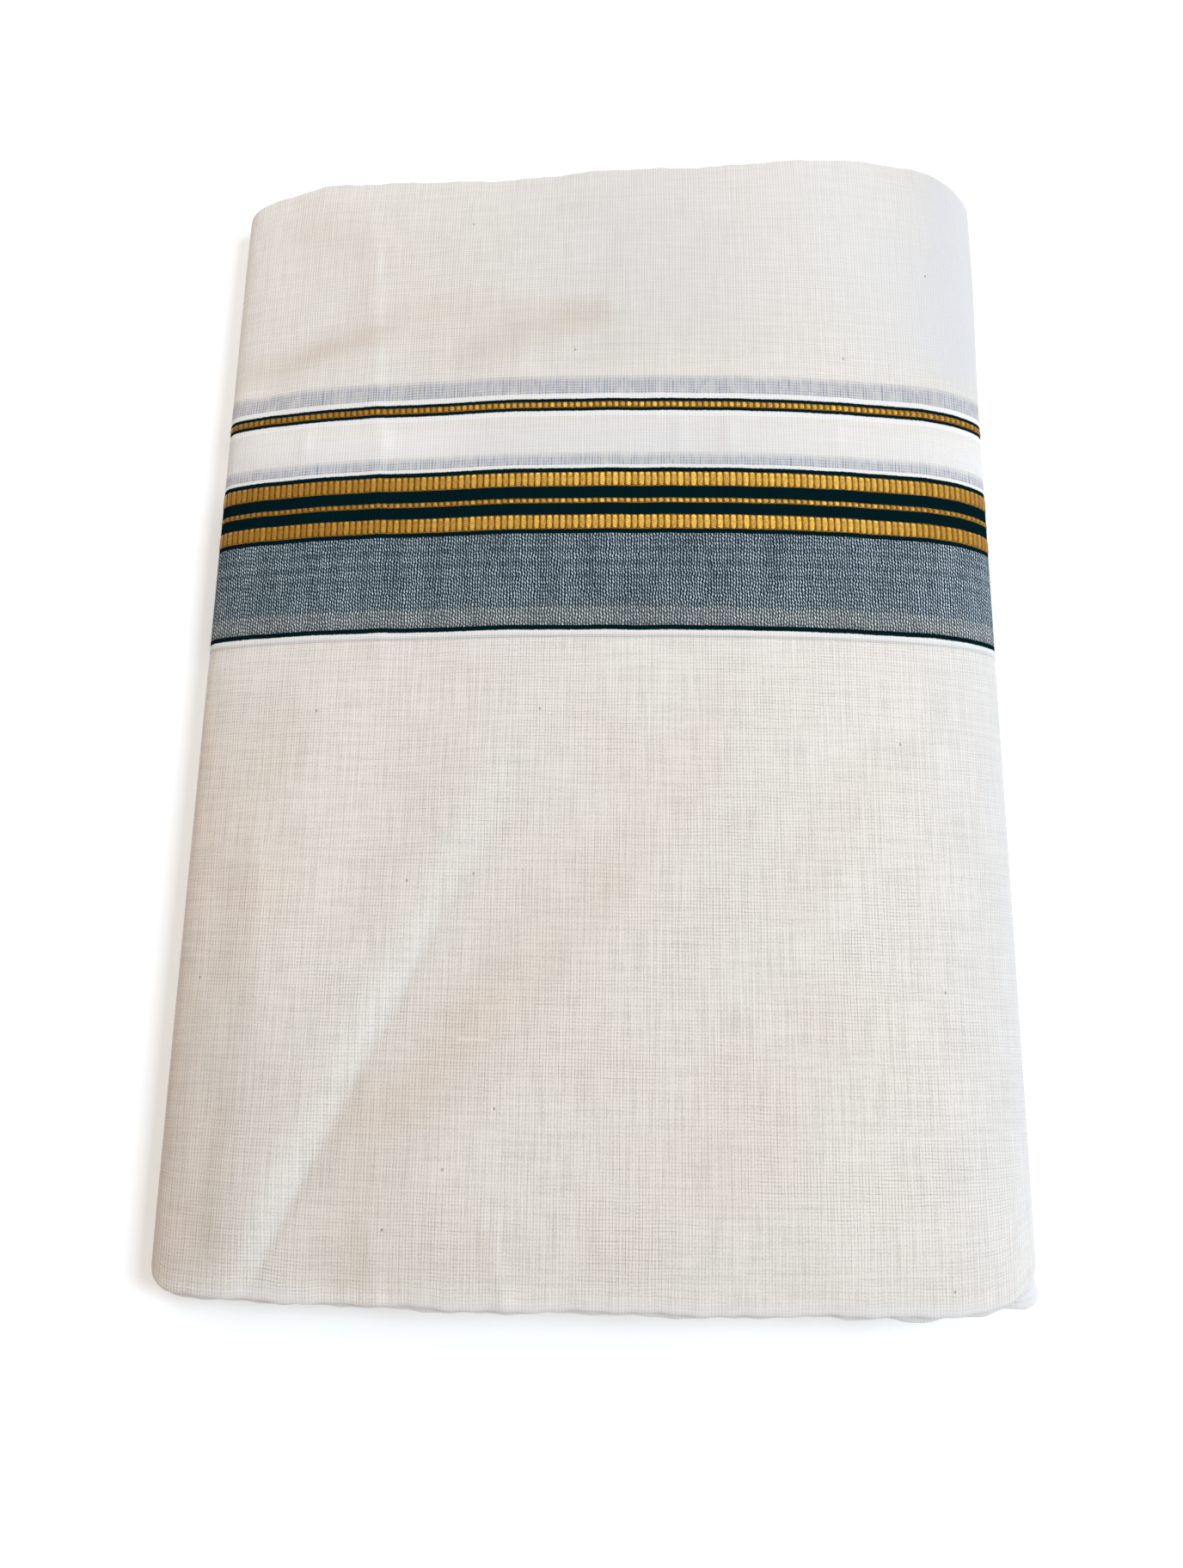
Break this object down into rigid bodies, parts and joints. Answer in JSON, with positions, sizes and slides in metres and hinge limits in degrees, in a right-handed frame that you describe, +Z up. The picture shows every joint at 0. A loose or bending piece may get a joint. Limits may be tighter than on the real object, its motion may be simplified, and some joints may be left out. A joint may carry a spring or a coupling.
{
  "type": "folded dhoti cloth",
  "caption": "White cotton dhoti wound flat and pressed into a bundle, with woven green, gold and blue-grey borders across its front.",
  "frame": {"origin": "centre of the bundle's footprint on the surface it lies on", "axes": "+Y along the bundle towards its top edge, +X to the right across the front, +Z up out of the front"},
  "size_m": [0.226, 0.3339, 0.025],
  "materials": {
    "bordered_cotton": "plain woven white cotton with woven dark green, gold and blue-grey border stripes, matt with a soft sheen on the gold",
    "plain_cotton": "plain woven off-white cotton, matt, with visible threads",
    "inner_cotton": "plain woven white cotton folds, matt"
  },
  "bodies": {
    "root": {"border_ply": "bordered_cotton", "body_ply": "plain_cotton", "second_turn_top_edge": "inner_cotton", "second_turn_bottom_edge": "inner_cotton", "inner_turns": "inner_cotton"}
  },
  "joints": []
}
